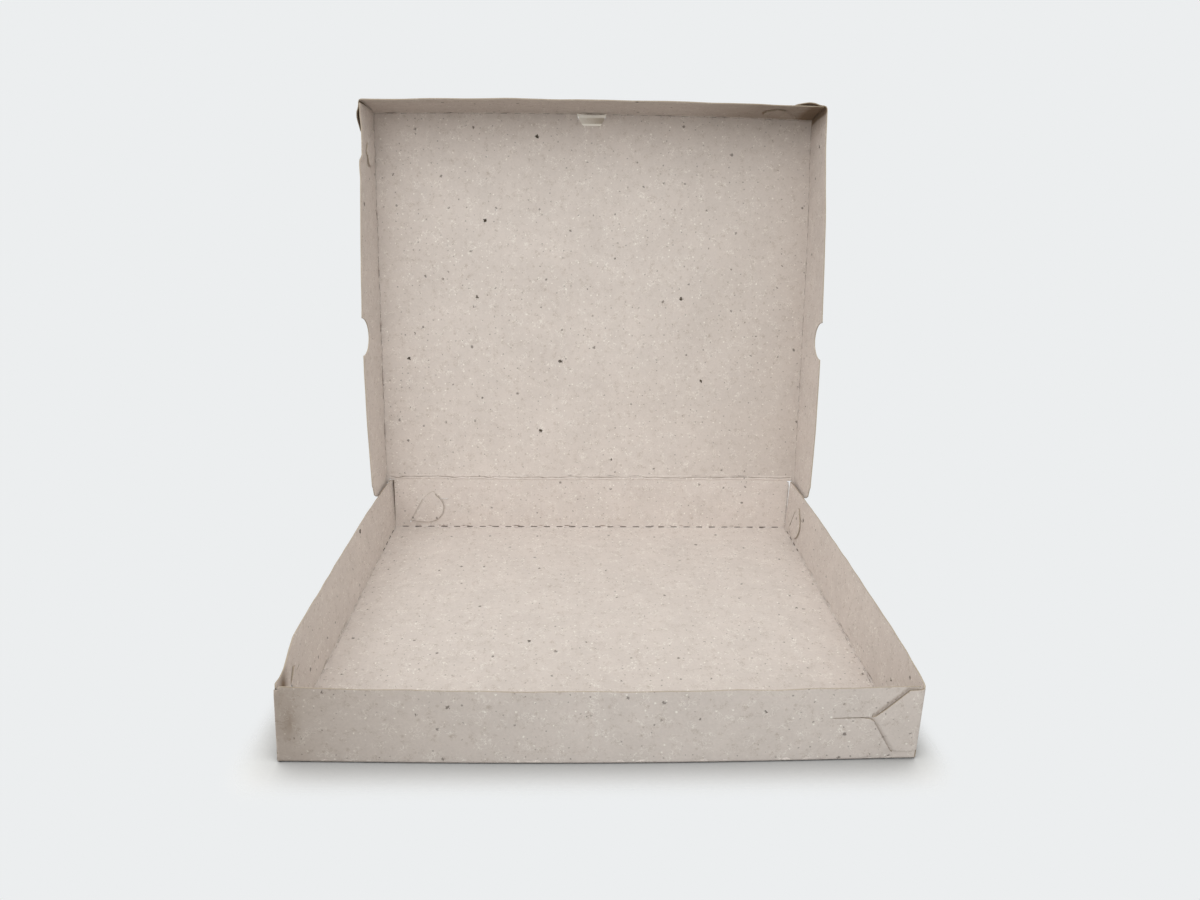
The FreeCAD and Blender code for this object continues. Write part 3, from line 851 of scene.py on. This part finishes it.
# %% tray outline
RIM_GAP = 0.8
SHUT_BEFORE, SHUT = 84, 0.35
tray_ring = []
for name in ALL_WALLS:
    rim = HINGE_Z - RIM_GAP if name == "back" else HEIGHT
    tray_ring += wall_path(tray_sides[name], rim, True, True, HEIGHT - FLAP_DROP)
tray_outer = roughen(divided(tray_ring, OUTLINE_STEP), OUTLINE_ROUGH)
tray_slits = [divided(lock_slits(tray_sides[name]), SLIT_STEP) for name in ALL_WALLS]
tray_holes = [roughen(slit, SLIT_ROUGH) for slit in tray_slits]
tray_nicks = []
for name in ALL_WALLS:
    for cut in fold_cuts(tray_sides[name], -FOLD + 0.75 * FOLD_ARC, TRAY_CUT_WIDTH):
        middle = np.mean(cut, axis=0)
        closed = name in ("left", "right") and middle[1] < SHUT_BEFORE
        tray_nicks.append(middle + (np.array(cut) - middle) * ((SHUT, 1) if closed else (1, 1)))
print("the tray's part of the flat sheet, in millimetres:", np.ptp(tray_outer, axis=0).round(1))

# %% tray piece
TRAY_STAND_OFF = 0.3
x_lines, y_lines = fold_grid((-200, -180), (200, 180), tray_sides, ALL_WALLS)
patches = lock_patches(tray_sides, ALL_WALLS)
flat, faces, nicked = fill(tray_outer, tray_holes, tray_nicks, x_lines, y_lines, patches)
straight = fold_up(flat, tray_sides, ALL_WALLS, ALL_WALLS, TRAY_STAND_OFF)
shade_and_soil = tray_shade_and_soil(straight, flat)
tray = thick_sheet("tray_board", flat, faces, bow_tray(straight), BOARD_MATERIALS, nicked, shade_and_soil)
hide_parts("tray")
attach(tray, frame["record"]["behaviour"]["joints"][0]["parent"])

# %% [markdown]
# ## The lid
# The lid is the other panel of the sheet, with three walls, a finger notch in each side wall and the hole
# of its small tab. It could be a copy of the tray, but its walls, locks and notches differ. It is drawn
# and folded the same way, then mirrored, because its flaps go round the corners the other way, and stood
# up at the hinge.

# %% lid outline
LID_WALLS = ["left", "back", "right"]
lid_sides = sides_of(LID_HALF_WIDTH, 0.0, LID_LENGTH)
lid_ring = []
notches = {"left": NOTCH_PLACE, "right": LID_LENGTH - NOTCH_PLACE}
for name in LID_WALLS:
    gives, gets = GIVES_TO[name] in LID_WALLS, GETS_FROM[name] in LID_WALLS
    lid_ring += wall_path(lid_sides[name], LID_WALL, gives, gets, LID_WALL - FLAP_DROP, notches.get(name))
lid_ring += [(149.0, LID_EDGE), (-149.0, LID_EDGE)]
lid_outer = roughen(divided(lid_ring, OUTLINE_STEP), OUTLINE_ROUGH)
lid_locked = ["back", "right"]
lid_slits = [divided(lock_slits(lid_sides[name]), SLIT_STEP) for name in lid_locked]
lid_holes = [roughen(slit, SLIT_ROUGH) for slit in lid_slits]
lid_nicks = []
for name in LID_WALLS:
    lid_nicks += [np.array(cut) for cut in fold_cuts(lid_sides[name], -FOLD + FOLD_ARC / 2, LID_CUT_WIDTH)]
tab_hole = [
    (-TAB_X - TAB_ROOT / 2 + 0.2, TAB_LINE - 0.2),
    (-TAB_X + TAB_ROOT / 2 - 0.2, TAB_LINE - 0.2),
    (-TAB_X + TAB_TIP / 2 - 0.3, TAB_LINE + TAB_LENGTH + 0.1),
    (-TAB_X, TAB_LINE + TAB_LENGTH - 0.6),
    (-TAB_X - TAB_TIP / 2 + 0.3, TAB_LINE + TAB_LENGTH + 0.1),
]
lid_holes.append(divided(tab_hole, SLIT_STEP))
print("the lid's part of the flat sheet, in millimetres:", np.ptp(lid_outer, axis=0).round(1))

# %% lid folded
LID_STAND_OFF = 2.2
x_lines, y_lines = fold_grid((-205, -3), (205, 310), lid_sides, LID_WALLS)
patches = lock_patches(lid_sides, LID_WALLS)
flat, faces, nicked = fill(lid_outer, lid_holes, lid_nicks, x_lines, y_lines, patches)
straight = fold_up(flat, lid_sides, LID_WALLS, lid_locked, LID_STAND_OFF) * np.array([-1, 1, 1])
print("points of the lid on the flat sheet:", len(flat))

# %% painted shade of the lid, and the piece
LID_FLAT_SHIFT = (400, 0)
across, along, wall = straight.T
# Painted shade: inside the lid's front wall, deeper towards the right; in the right-hand corner at that
# wall; on the hidden faces of the flaps; beside the edges of hooks and flaps; and on the panel, a little all
# over and more towards the right.
front_wall = (along > LID_LENGTH - 3.2) * (wall > 2.4) * (np.abs(across) < LID_HALF_WIDTH)
front_shade = front_wall * (0.2 + 0.5 * smooth(40, 140, across))
corner_shade = 0.5 * smooth(16, 3, LID_LENGTH - along) * smooth(138, 150, across) * (wall > 1)
shade = np.maximum(front_shade + corner_shade, 1.1 * flap_shade(flat, lid_sides, LID_WALLS))
shade = shade + (0.07 + 0.14 * smooth(20, 150, across)) * (wall < 2)
hook_line, flap_line = lock_lines(flat, lid_sides, LID_WALLS)
shade_and_soil = np.concatenate([shade + hook_line, flap_line])
folded = stand_lid(bow_lid(straight))
unfolded = flat + LID_FLAT_SHIFT
lid = thick_sheet("lid_board", unfolded, faces[:, ::-1], folded, BOARD_MATERIALS, nicked, shade_and_soil)
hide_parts("lid")
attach(lid, "lid")

# %% [markdown]
# ## The crease at the hinge
# Tray and lid are one sheet, and the board between them is scored and bends. One mesh for both would tear
# or stretch when the lid turns, and two meshes alone would leave a gap. So a narrow strip crosses the
# hinge, with the score's ridge and groove, and bends from the tray's back wall to the lid at its open angle.

# %% crease shape
columns = np.linspace(-150.5, 150.5, 252)
runs = np.concatenate([[-2.0, -1.6], np.arange(-1.3, 1.61, 0.2), [2.0]])
grid = np.array([(x, t) for x in columns for t in runs])
wave = 0.5 * ripple(grid[:, 0] * 1.3, 0 * grid[:, 0], 12) + 0.25 * ripple(grid[:, 0] * 6, 0 * grid[:, 0], 13)
beside = grid[:, 1] - wave * smooth(2.0, 1.0, np.abs(grid[:, 1]))
ridge = 0.4 * np.exp(-(((beside + 0.75) / 0.5) ** 2)) - 0.45 * np.exp(-(((beside - 0.1) / 0.3) ** 2))
below = grid[:, 1] <= 0
y = np.where(below, HINGE_Y, HINGE_Y + grid[:, 1] * math.cos(LID_TURN)) - ridge
z = np.where(below, HINGE_Z + grid[:, 1], HINGE_Z + grid[:, 1] * math.sin(LID_TURN))
# Painted shade along the groove of the score, broken in places, on one face of the strip only.
broken = 0.75 + 0.5 * ripple(grid[:, 0] * 4, 0 * grid[:, 0], 14)
line = 1.6 * np.exp(-(((beside - 0.1) / 0.32) ** 2)) * np.clip(broken, 0.15, 1.3)
print("points of the crease:", len(grid))

# %% crease piece
rows = len(runs)
faces = []
for i in range(len(columns) - 1):
    for j in range(rows - 1):
        a = i * rows + j
        faces += [(a, a + rows, a + rows + 1), (a, a + rows + 1, a + 1)]
folded = np.column_stack([grid[:, 0], y, z])
shade_and_soil = np.concatenate([line, 0 * line])
crease = thick_sheet("hinge_crease", grid, np.array(faces), folded, BOARD_MATERIALS, None, shade_and_soil)
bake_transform(crease)

# %% [markdown]
# ## The lid's small tab
# A tongue cut in the lid's panel near its front fold stands out at an angle. It could be a plain bent
# plate, but its free edge is hollow where the die left it, and curls back, so it catches the light while
# the face below it is in shade. It is drawn flat, like the sheets, and bent along a curve whose lean
# changes twice. Its board is paler than the panel, a painted highlight that brightens its curled edge,
# and its leaning face carries painted shade.

# %% tab bend
TAB_FACE, TAB_FLAT, TAB_CURL = 5.9, 8.0, math.radians(-12)


def tab_place(flat):
    """The tab's flat points, x across and t from the crease, as places in the lid's own frame. The tab leans
    out of the panel, and its free edge curls back up."""
    x, t = flat.T
    steps = np.linspace(-0.6, TAB_FLAT, 173)
    lean = TAB_BEND * smooth(0.4, 1.2, steps)
    lean = lean + (TAB_CURL - TAB_BEND) * smooth(TAB_FACE - 0.5, TAB_FACE + 0.3, steps)
    gap = steps[1] - steps[0]
    s = TAB_LINE + steps[0] + np.concatenate([[0], np.cumsum(np.cos(lean[1:]) * gap)])
    w = BOARD / 2 + np.concatenate([[0], np.cumsum(np.sin(lean[1:]) * gap)])
    return np.column_stack([x, np.interp(t, steps, s), np.interp(t, steps, w)])


# %% tab piece
tab_ring = [(TAB_X - TAB_ROOT / 2, -0.5), (TAB_X + TAB_ROOT / 2, -0.5), (TAB_X + TAB_TIP / 2, TAB_FLAT)]
tab_ring += [(TAB_X + TAB_TIP / 2 * c, TAB_FLAT - 0.9 * (1 - c * c)) for c in np.linspace(0.8, -0.8, 9)]
tab_ring += [(TAB_X - TAB_TIP / 2, TAB_FLAT)]
tab_outer = roughen(divided(tab_ring, TAB_STEP), SLIT_ROUGH)
flat, faces, _ = fill(tab_outer, [], [], np.arange(-15, 10, 0.9), np.arange(-1, 9, 0.45), [])
folded = stand_lid(bow_lid(tab_place(flat)))
# Painted shade on the tab's leaning face, deeper towards its right.
shaded = smooth(0.8, 1.6, flat[:, 1]) * smooth(TAB_FACE + 0.1, TAB_FACE - 0.6, flat[:, 1])
shaded = shaded * (0.3 + 0.5 * smooth(-12, 8, flat[:, 0]))
shade_and_soil = np.concatenate([shaded, 0 * shaded])
tab = thick_sheet("lid_tab_board", flat, faces, folded, [board_tab, board_tab], None, shade_and_soil)
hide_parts("lid_tab")
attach(tab, "lid_tab")

# %% [markdown]
# ## Floor
# The box stands on a pale floor that has no edge to the eye. A large plane would show its own grey and its
# horizon. So the lens sees the floor only near the box, where the box shades it, and the floor fades into
# the even background further off. It is a diffuse paper: matt, with no reflection of the box.

# %% floor material
PALE = linear("#eceeef")
SIDE_LINE, FRONT_LINE, BACK_LINE, SIDE_SHIFT = 0.149, -0.127, 0.12, 0.0025
FADE_START, FADE_END, SHADE_REACH = 0.003, 0.03, 0.035


def floor_material():
    """Camera rays meet the floor only near the box, and further off they pass through it to the surround.
    Other rays meet a grey floor all over."""
    made, tree = material("pale_floor")
    spot = add(tree, "SeparateXYZ", {0: add(tree, "TexCoord").outputs["Object"]})
    half = add(tree, "Math", {0: spot.outputs["X"], 1: SIDE_SHIFT}, operation="ADD")
    half = add(tree, "Math", {0: half}, operation="ABSOLUTE")
    beside = add(tree, "Math", {0: half, 1: SIDE_LINE}, operation="SUBTRACT")
    beside = add(tree, "Math", {0: beside, 1: 0.0}, operation="MAXIMUM")
    beside = add(tree, "Math", {0: beside, 1: 1.2}, operation="MULTIPLY")
    before = add(tree, "Math", {0: FRONT_LINE, 1: spot.outputs["Y"]}, operation="SUBTRACT")
    before = add(tree, "Math", {0: before, 1: 0.0}, operation="MAXIMUM")
    behind = add(tree, "Math", {0: spot.outputs["Y"], 1: BACK_LINE}, operation="ADD")
    behind = add(tree, "Math", {0: behind, 1: 0.0}, operation="MAXIMUM")
    far = add(tree, "Math", {0: before, 1: before}, operation="MULTIPLY")
    far = add(tree, "Math", {0: beside, 1: beside, 2: far}, operation="MULTIPLY_ADD")
    far = add(tree, "Math", {0: far}, operation="SQRT")
    far = add(tree, "Math", {0: behind, 1: 0.1, 2: far}, operation="MULTIPLY_ADD")
    fade = add(tree, "MapRange", {0: far, 1: FADE_START, 2: FADE_END}, interpolation_type="SMOOTHERSTEP")
    direct = add(tree, "LightPath").outputs["Is Camera Ray"]
    tint = add(tree, "Mix", {0: direct, 6: linear("#8c8b89"), 7: linear("#f2f3f4")}, data_type="RGBA")
    # The ambient occlusion darkens the floor's colour near the box: painted shade that deepens its contact
    # shadow.
    near = add(tree, "AmbientOcclusion", {"Color": tint.outputs[2], "Distance": SHADE_REACH}, samples=12)
    paper = add(tree, "BsdfDiffuse", {"Color": near.outputs["Color"]})
    clear = add(tree, "BsdfTransparent")
    gone = add(tree, "Math", {0: fade, 1: direct}, operation="MULTIPLY")
    mixed = add(tree, "MixShader", {0: gone, 1: paper, 2: clear})
    add(tree, "OutputMaterial", {0: mixed})
    return made


# %% floor
FLOOR_RADIUS, FLOOR_CORNERS = 1.3, 64
floor_mesh = bpy.data.meshes.new("floor")
turns = np.linspace(0, 2 * math.pi, FLOOR_CORNERS + 1)[:-1]
ring = [(FLOOR_RADIUS * math.cos(a), FLOOR_RADIUS * math.sin(a), 0.0) for a in turns]
floor_mesh.from_pydata(ring, [], [tuple(range(FLOOR_CORNERS))])
floor_mesh.materials.append(floor_material())
floor = bpy.data.objects.new("floor", floor_mesh)
bpy.context.scene.collection.objects.link(floor)
print("floor radius:", FLOOR_RADIUS, "m")

# %% [markdown]
# ## Light
# A product is lit in a studio tent: soft light from all round, a little more from above and the front. An
# image of a studio could light it, but plain lamps are easier to set and leave the colours as they are
# written. The surround gives most of the light, one wide lamp stands for the tent's roof, and a weaker one
# for its front.

# %% surround
world = bpy.data.worlds.new("surround")
bpy.context.scene.world = world
world.use_nodes = True
sky = world.node_tree
sky.nodes.clear()
path = add(sky, "LightPath")
rays = {0: path.outputs["Is Camera Ray"], 1: path.outputs["Is Glossy Ray"]}
seen = add(sky, "Math", rays, operation="MAXIMUM")
seen = add(sky, "Math", {0: seen, 1: path.outputs["Is Transmission Ray"]}, operation="MAXIMUM")
even = add(sky, "Background", {"Color": (1.0, 0.995, 0.95, 1), "Strength": 0.69})
shown = add(sky, "Background", {"Color": PALE, "Strength": 1.0})
chosen = add(sky, "MixShader", {0: seen, 1: even, 2: shown})
add(sky, "OutputWorld", {0: chosen})


# %% lamps
LAMP_AIM = (0, 0, 0.1)


def lamp(name, spot, size, power):
    """A round, soft lamp `size` metres wide, turned to the middle of the box."""
    light = bpy.data.lights.new(name, "AREA")
    light.shape = "DISK"
    light.size = size
    light.energy = power
    obj = bpy.data.objects.new(name, light)
    obj.location = spot
    obj.rotation_euler = (Vector(LAMP_AIM) - Vector(spot)).to_track_quat("-Z", "Y").to_euler()
    bpy.context.scene.collection.objects.link(obj)
    print("lamp", name, size, "m wide,", power, "W")


lamp("tent_roof", (-0.2, -0.65, 1.0), 2.0, 9.6)
lamp("tent_front", (-0.3, -1.5, 0.5), 1.0, 2.0)

# %% [markdown]
# ## Camera
# The photograph was taken from a little above the rim and close in front, with a wide lens, so the tray's
# sides run together quickly. The place, the turn and the focal length come from fitting a camera to the
# box's corners in the photograph. The focal length is in pixels of a frame 1200 pixels wide.

# %% camera
YAW, PITCH, ROLL = math.radians(1.77), math.radians(19.71), math.radians(0.92)
LENS_PIXELS, FRAME_PIXELS, SENSOR = 801, 1200, 36
CAMERA_SPOT = (-0.01164, -0.4321, 0.2641)
forward = Vector((math.sin(YAW) * math.cos(PITCH), math.cos(YAW) * math.cos(PITCH), -math.sin(PITCH)))
level = Vector((math.cos(YAW), -math.sin(YAW), 0))
upright = level.cross(forward)
right = level * math.cos(ROLL) + upright * math.sin(ROLL)
up = upright * math.cos(ROLL) - level * math.sin(ROLL)
data = bpy.data.cameras.new("camera")
data.sensor_width = SENSOR
data.lens = SENSOR * LENS_PIXELS / FRAME_PIXELS
data.clip_start = 0.01
camera = bpy.data.objects.new("camera", data)
turned = Matrix((right, up, -forward)).transposed().to_4x4()
camera.matrix_world = Matrix.Translation(Vector(CAMERA_SPOT)) @ turned
bpy.context.scene.collection.objects.link(camera)
bpy.context.scene.camera = camera
bpy.context.scene.view_settings.view_transform = "Standard"
print("camera lens:", round(data.lens, 2), "mm")
